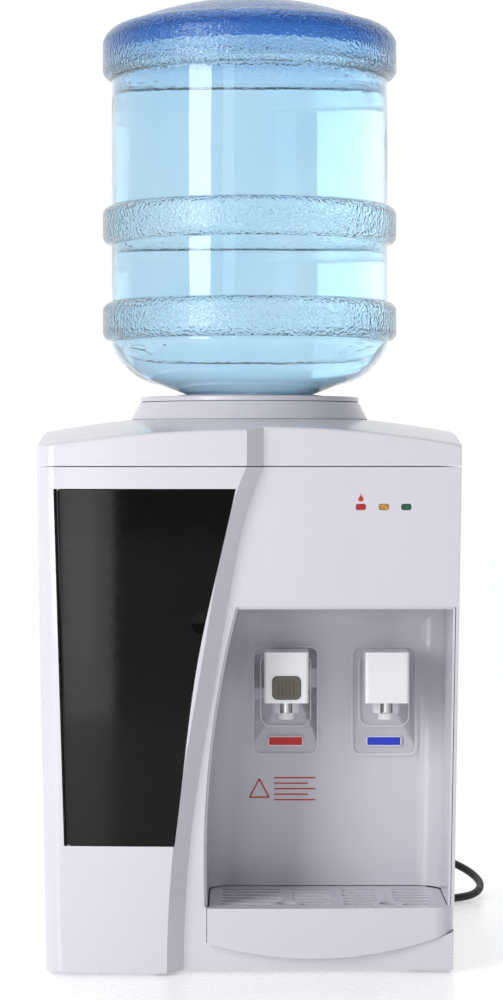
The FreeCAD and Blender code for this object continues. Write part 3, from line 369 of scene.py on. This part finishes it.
PRINT_ROUGH = (0.4, 0.55)
MOULDED = {
    "shell_plastic": dict(base=(0.69, 0.68, 0.735), rough=(0.21, 0.25), Coat_Weight=0.2, Coat_Roughness=0.12),
    "tray_plastic": dict(base=(0.69, 0.68, 0.75), rough=(0.25, 0.262), tone=0.004, Coat_Weight=0.2),
    "tap_plastic": dict(base=(0.84, 0.84, 0.87), rough=(0.14, 0.20), Coat_Weight=0.4),
    "liner_plastic": dict(base=(0.72, 0.72, 0.77), rough=(0.45, 0.6)),
    "door_gloss": dict(base=(0.0025, 0.0022, 0.0018), rough=(0.05, 0.08), grain=300.0, depth=0.0000015,
                       tone=0.3, Specular_IOR_Level=0.2),
    "rubber_black": dict(base=(0.012, 0.012, 0.013), rough=(0.42, 0.6), grain=1500.0, depth=0.00002, tone=0.3),
    "rear_sheet": dict(base=(0.50, 0.50, 0.52), rough=(0.42, 0.55), grain=1300.0, depth=0.00006),
    "seal_rubber": dict(base=(0.66, 0.67, 0.70), rough=(0.5, 0.65)),
    "button_grey": dict(base=(0.115, 0.105, 0.085), rough=(0.35, 0.5), grain=1200.0, depth=0.00002),
    "hot_red": dict(base=(0.66, 0.006, 0.008), rough=(0.3, 0.4), Coat_Weight=0.15),
    "cold_blue": dict(base=(0.008, 0.035, 0.62), rough=(0.3, 0.4), Coat_Weight=0.15),
    "board_green": dict(base=(0.02, 0.16, 0.07), rough=(0.35, 0.5)),
    "module_white": dict(base=(0.8, 0.8, 0.78), rough=(0.5, 0.6)),
    "fan_black": dict(base=(0.02, 0.02, 0.022), rough=(0.35, 0.5), grain=1400.0, depth=0.00005, tone=0.2),
    "tube_silicone": dict(base=(0.8, 0.8, 0.76), rough=(0.3, 0.45), Subsurface_Weight=0.3),
    "print_red": dict(base=(0.55, 0.04, 0.03), rough=PRINT_ROUGH),
    "print_green": dict(base=(0.05, 0.22, 0.08), rough=PRINT_ROUGH),
    "print_amber": dict(base=(0.55, 0.25, 0.05), rough=PRINT_ROUGH),
}
BRUSHED = {
    "supply_metal": dict(base=(0.5, 0.5, 0.52), stretch=(1, 0.05, 1)),
    "screw_steel": dict(base=(0.82, 0.82, 0.84), stretch=(1, 1, 0.08), rough=(0.08, 0.18)),
    "tank_steel": dict(base=(0.62, 0.63, 0.65), stretch=(0.05, 0.05, 1)),
    "sink_aluminium": dict(base=(0.75, 0.76, 0.78), stretch=(1, 1, 0.05)),
    "blade_brass": dict(base=(0.78, 0.64, 0.36), stretch=(0.08, 1, 1)),
}
# The pale edge material paints the highlights along the edges of the clear tap plates.
CLEAR = {"clear_plate": ((0.90, 0.90, 0.95), 0.09), "plate_edge_highlight": ((0.95, 0.95, 0.98), 0.85)}
LAMPS = {
    "lamp_red": ((0.65, 0.02, 0.02), 0.25),
    "lamp_amber": ((0.85, 0.42, 0.05), 0.3),
    "lamp_green": ((0.01, 0.20, 0.08), 0.1),
}


def make_materials():
    """Every material by name: one for each of the record's slots, and those of the added pieces."""
    made = {name: moulded(name, **look) for name, look in MOULDED.items()}
    made.update({name: brushed(name, **look) for name, look in BRUSHED.items()})
    made.update({name: clear_material(name, *look) for name, look in CLEAR.items()})
    made.update({name: lamp_material(name, *look) for name, look in LAMPS.items()})
    made["foam_grey"] = foamed("foam_grey", (0.72, 0.72, 0.70))
    made["bottle_blue"] = bottle_material()
    made["water"] = water_material()
    return made


# ---------------------------------------------------------------- mesh pieces
def add_piece(name, bm, body, material):
    """Finish a bmesh as a new piece that rides on a body."""
    mesh = bpy.data.meshes.new(name)
    bm.to_mesh(mesh)
    bm.free()
    obj = place(name, mesh)
    paint(obj, material)
    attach(obj, body)
    return obj


def softened(node, width, materials, slots):
    """The CAD node's own form, with its edges rounded as a moulding's are."""
    bm = bmesh.new()
    bm.from_mesh(NODES[node].data)
    bmesh.ops.remove_doubles(bm, verts=bm.verts, dist=0.00001)
    bmesh.ops.dissolve_limit(bm, angle_limit=math.radians(0.1), verts=bm.verts, edges=bm.edges)
    for f in bm.faces:
        f.smooth = True
    slot = slots[node]
    obj = add_piece(node + "_form", bm, NODES[node]["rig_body"], materials[slot])
    bevel = obj.modifiers.new("edges", "BEVEL")
    bevel.width = width
    bevel.segments = 3
    bevel.limit_method = "ANGLE"
    bevel.angle_limit = math.radians(30)
    bevel.use_clamp_overlap = True
    shading = obj.modifiers.new("shading", "WEIGHTED_NORMAL")
    shading.weight = 80
    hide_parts(node)
    return obj


def smooth_bow(obj):
    """Shades the bowed front as the true curve that its flat facets stand for."""
    evaluated = obj.evaluated_get(bpy.context.evaluated_depsgraph_get())
    shaped = bpy.data.meshes.new_from_object(evaluated)
    normals = [corner.vector.copy() for corner in shaped.corner_normals]
    for face in shaped.polygons:
        for loop in face.loop_indices:
            x, y, _ = shaped.vertices[shaped.loops[loop].vertex_index].co
            out = Vector((x, -math.sqrt(BOW_R ** 2 - x * x), 0)) / BOW_R
            on_front = any(abs(y - front - BOW_R - out.y * BOW_R) < ON_BOW
                           for front in (FRONT_Y, FASCIA_Y))
            if on_front and face.normal.dot(out) > FACES_BOW:
                normals[loop] = out
    shaped.normals_split_custom_set(normals)
    obj.modifiers.clear()
    obj.data = shaped


def curve_arc(points, mid, end, count):
    """Adds points on the circle from the last (radius, height) point through mid to end."""
    start = points[-1]
    (ax, ay), (bx, by), (cx, cy) = start, mid, end
    d = 2 * (ax * (by - cy) + bx * (cy - ay) + cx * (ay - by))
    sa, sb, sc = ax * ax + ay * ay, bx * bx + by * by, cx * cx + cy * cy
    ux = (sa * (by - cy) + sb * (cy - ay) + sc * (ay - by)) / d
    uy = (sa * (cx - bx) + sb * (ax - cx) + sc * (bx - ax)) / d
    r = math.hypot(ax - ux, ay - uy)
    a0, a1, a2 = (math.atan2(y - uy, x - ux) for x, y in (start, mid, end))
    turn = (a2 - a0 + math.pi) % (2 * math.pi) - math.pi
    half = (a1 - a0 + math.pi) % (2 * math.pi) - math.pi
    if turn * half < 0:
        turn -= math.copysign(2 * math.pi, turn)
    for i in range(1, count + 1):
        a = a0 + turn * i / count
        points.append((ux + r * math.cos(a), uy + r * math.sin(a)))


def bottle_profile(t):
    """Half-section of the bottle from its mouth to the middle of its base, t mm inside its skin.

    A point just inside each end of a straight stretch keeps its shading straight.
    """
    rib, wall, neck = RIB_R - t, WALL_R - t, NECK_R - t
    p = [(neck, 402.5), (neck, 442 + t)]
    curve_arc(p, (neck + 2.6, 448.5 + t), (neck + 9, 451.6 + t), 6)
    p += [(54 - t, 455.4 + t), (74.7 - t, 462.7 + t)]
    curve_arc(p, (99.3 - t, 474.2 + t), (wall, 497), 14)
    p.append((wall, 497 + STRAIGHT))
    for low, high in RIBS:
        p += [(wall, low + t - STRAIGHT), (wall, low + t)]
        curve_arc(p, (wall + 4.8, low + 2 + t), (rib, low + 6.5 + t), 7)
        p += [(rib, low + 6.5 + t + STRAIGHT), (rib, high - 6.5 - t - STRAIGHT),
              (rib, high - 6.5 - t)]
        curve_arc(p, (wall + 4.8, high - 2 - t), (wall, high - t), 7)
        p.append((wall, high - t + STRAIGHT))
    p += [(wall, RING_LOW + t - STRAIGHT), (wall, RING_LOW + t)]
    curve_arc(p, (wall + 4.8, RING_LOW + 2 + t), (rib, RING_LOW + 6.5), 7)
    p += [(rib, RING_LOW + 6.5 + STRAIGHT), (rib, RING_HIGH - STRAIGHT), (rib, RING_HIGH)]
    curve_arc(p, (rib - 5.4, 755.5 - t), (104.2 - t, 761.2 - t), 8)
    curve_arc(p, (60 - t, 775.6 - t), (34, 780.2 - t), 12)
    p.append((0, BASE_Z - t))
    return [(r / 1000, z / 1000) for r, z in p]


def spin(bm, profile, flip=False):
    """Turn a half-section about the upright axis, closing it at the axis if it ends there."""
    angles = [2 * math.pi * k / SPIN_COUNT for k in range(SPIN_COUNT)]
    rings = []
    for r, z in profile:
        if r < 1e-6:
            rings.append([bm.verts.new((0, 0, z))])
            continue
        rings.append([bm.verts.new((r * math.cos(a), r * math.sin(a), z)) for a in angles])
    for a, b in zip(rings, rings[1:]):
        for k in range(SPIN_COUNT):
            n = (k + 1) % SPIN_COUNT
            if len(a) == 1:
                corners = [a[0], b[n], b[k]]
            elif len(b) == 1:
                corners = [a[k], a[n], b[0]]
            else:
                corners = [a[k], a[n], b[n], b[k]]
            bm.faces.new(corners[::-1] if flip else corners)
    return rings


def make_bottle(materials):
    bm = bmesh.new()
    outer = spin(bm, bottle_profile(0))
    inner = spin(bm, bottle_profile(SHELL), flip=True)
    for k in range(SPIN_COUNT):
        n = (k + 1) % SPIN_COUNT
        bm.faces.new([outer[0][n], outer[0][k], inner[0][k], inner[0][n]])
    for f in bm.faces:
        f.smooth = True
    bottle = add_piece("blue_bottle", bm, "bottle", materials["bottle_blue"])
    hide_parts("water_bottle")


def make_water(materials):
    """Water inside the bottle, from the neck up to a level surface behind the base's ring."""
    wall = [(min(r, WATER_R), z) for r, z in bottle_profile(WATER_GAP)
            if WATER_LOW < z < WATER_LEVEL]
    wall = [(0.0, wall[0][1]), *wall, (wall[-1][0], WATER_LEVEL), (0.0, WATER_LEVEL)]
    bm = bmesh.new()
    spin(bm, wall)
    for f in bm.faces:
        f.smooth = abs(f.normal.z) < 0.99
    add_piece("bottle_water", bm, "bottle", materials["water"])


# ---------------------------------------------------------------- printed marks
def flat_print(name, outlines, y_of, depth, material):
    """Printed marks: flat outlines in the XZ plane laid on a front-facing surface."""
    bm = bmesh.new()
    for outline in outlines:
        front = [bm.verts.new((x, y_of(x) - depth, z)) for x, z in outline]
        rear = [bm.verts.new((x, y_of(x) + PRINT_REAR, z)) for x, z in outline]
        bm.faces.new(front)
        bm.faces.new(rear[::-1])
        for k in range(len(outline)):
            n = (k + 1) % len(outline)
            bm.faces.new([front[n], front[k], rear[k], rear[n]])
    bmesh.ops.recalc_face_normals(bm, faces=bm.faces)
    add_piece(name, bm, "cabinet", material)


def bar(x0, z0, x1, z1, w):
    """Outline of a straight stroke of width w."""
    dx, dz = x1 - x0, z1 - z0
    n = math.hypot(dx, dz)
    ox, oz = -dz / n * w / 2, dx / n * w / 2
    return [(x0 + ox, z0 + oz), (x1 + ox, z1 + oz), (x1 - ox, z1 - oz), (x0 - ox, z0 - oz)]


def frame_bars(x, half, z0, z1, r, w):
    """Narrow bars along a rounded rectangle centred on x."""
    path = []
    for k, (cx, cz) in enumerate(((x + half - r, z1 - r), (x - half + r, z1 - r),
                                  (x - half + r, z0 + r), (x + half - r, z0 + r))):
        for step in range(6):
            a = math.radians(90 * k + 18 * step)
            path.append((cx + r * math.cos(a), cz + r * math.sin(a)))
    return [bar(*a, *b, w) for a, b in zip(path, path[1:] + path[:1])]


def fascia_y(x):
    return FASCIA_Y + BOW_R - math.sqrt(BOW_R ** 2 - x * x)


def flame_mark():
    return [[(HOT_X + x * FLAME_SCALE, MARK_Z + h * FLAME_SCALE) for x, h in FLAME]]


def power_mark():
    """An upright stroke in a ring that is open at its top."""
    ring = 0.0027
    bars = [bar(POWER_X, MARK_Z + 0.0004, POWER_X, MARK_Z + 0.0036, STROKE)]
    for k in range(10):
        a, b = (math.radians(130 + 28 * (k + j)) for j in (0, 1))
        bars.append(bar(POWER_X + ring * math.cos(a), MARK_Z + ring * math.sin(a),
                        POWER_X + ring * math.cos(b), MARK_Z + ring * math.sin(b), STROKE))
    return bars


def snow_mark():
    """Three crossed strokes."""
    arm = 0.0032
    bars = []
    for k in range(3):
        a = math.radians(90 + 60 * k)
        dx, dz = arm * math.cos(a), arm * math.sin(a)
        bars.append(bar(COLD_X - dx, MARK_Z - dz, COLD_X + dx, MARK_Z + dz, STROKE))
    return bars


def notice_mark():
    """Plain bars where the real bay has a notice, beside a triangle."""
    rows = []
    for k in range(5):
        z = 0.140 - 0.0045 * k
        rows.append(bar(0.020, z, 0.054 - 0.006 * (k % 2), z, 0.0011))
    corners = ((0.0, 0.124), (0.016, 0.124), (0.008, 0.139))
    return rows + [bar(*corners[k], *corners[(k + 1) % 3], 0.0012) for k in range(3)]


def make_prints(materials):
    flat_print("hot_mark", flame_mark(), fascia_y, MARK_DEPTH, materials["print_red"])
    flat_print("power_mark", power_mark(), fascia_y, MARK_DEPTH,
               materials["print_amber"])
    flat_print("cold_mark", snow_mark(), fascia_y, MARK_DEPTH,
               materials["print_green"])
    flat_print("notice_mark", notice_mark(), lambda x: NOTICE_Y, 0.0003,
               materials["print_red"])


def make_plate_edge_highlights(materials):
    """Painted highlights: pale strips along the edges of the clear tap plates, and the white borders of the
    two bars.
    """
    edges, borders = [], []
    for x in TAP_X:
        # painted highlights: pale strips along the outer and inner edges of each plate
        edges += frame_bars(x, 0.0262, 0.1595, 0.2475, 0.0065, 0.0009)
        edges += frame_bars(x, 0.0204, 0.1826, 0.2424, 0.0084, 0.0009)
        borders += frame_bars(x, 0.0140, 0.1665, 0.1740, 0.0013, 0.0010)
    flat_print("plate_edge_highlights", edges, lambda x: PLATE_Y, 0.0003,
               materials["plate_edge_highlight"])
    flat_print("bar_borders", borders, lambda x: LABEL_Y, 0.0006,
               materials["tap_plastic"])


# ---------------------------------------------------------------- stage
def area_light(name, where, aim, size, power):
    """A soft light that lights the object but isn't itself in the picture."""
    data = bpy.data.lights.new(name, "AREA")
    data.shape = "RECTANGLE"
    data.size, data.size_y = size
    data.energy = power
    light = place(name, data)
    light.visible_camera = False
    light.location = where
    light.rotation_euler = (Vector(aim) - Vector(where)).to_track_quat("-Z", "Y").to_euler()


def studio_world():
    """Soft white room, brighter behind the object than in front of it."""
    world = bpy.data.worlds.new("studio")
    bpy.context.scene.world = world
    world.use_nodes = True
    tree = world.node_tree
    sky = tree.nodes["Background"]
    where = tree.nodes.new("ShaderNodeTexCoord")
    split = tree.nodes.new("ShaderNodeSeparateXYZ")
    ramp = tree.nodes.new("ShaderNodeMapRange")
    ramp.interpolation_type = "SMOOTHSTEP"
    for socket, number in (("From Min", -0.2), ("From Max", 0.8),
                           ("To Min", ROOM_FRONT), ("To Max", ROOM_BACK)):
        ramp.inputs[socket].default_value = number
    tree.links.new(where.outputs["Generated"], split.inputs["Vector"])
    tree.links.new(split.outputs["Y"], ramp.inputs["Value"])
    tree.links.new(ramp.outputs["Result"], sky.inputs["Strength"])
    sky.inputs["Color"].default_value = (0.98, 0.99, 1.0, 1)


def make_stage():
    """Pale, faintly glowing floor, the room and its lights."""
    half = FLOOR_HALF
    mesh = bpy.data.meshes.new("floor")
    mesh.from_pydata([(-half, -half, 0), (half, -half, 0), (half, half, 0), (-half, half, 0)],
                     [], [(0, 1, 2, 3)])
    floor = place("floor", mesh)
    paint(floor, moulded("floor", (0.90, 0.90, 0.90), (0.25, 0.30), 60.0, 0.000001,
                         Emission_Strength=FLOOR_GLOW, Emission_Color=(1, 1, 1, 1)))
    studio_world()
    for light in LIGHTS:
        area_light(*light)
    bpy.context.scene.view_settings.view_transform = "Standard"


# ---------------------------------------------------------------- everything
make_camera()
MATERIALS = make_materials()
SLOTS = {s["node"]: s["material_slot"] for s in frame["record"]["subparts"]}
for node, obj in NODES.items():
    paint(obj, MATERIALS[SLOTS[node]])

cord = make_cord()
paint(cord, MATERIALS["rubber_black"])
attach(cord, "cabinet")
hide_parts("power_cord", "cord_coil")

make_bottle(MATERIALS)
make_water(MATERIALS)
make_prints(MATERIALS)
make_plate_edge_highlights(MATERIALS)
for node, width in SOFT_EDGES.items():
    form = softened(node, width, MATERIALS, SLOTS)
    if node in BOWED:
        smooth_bow(form)
make_stage()
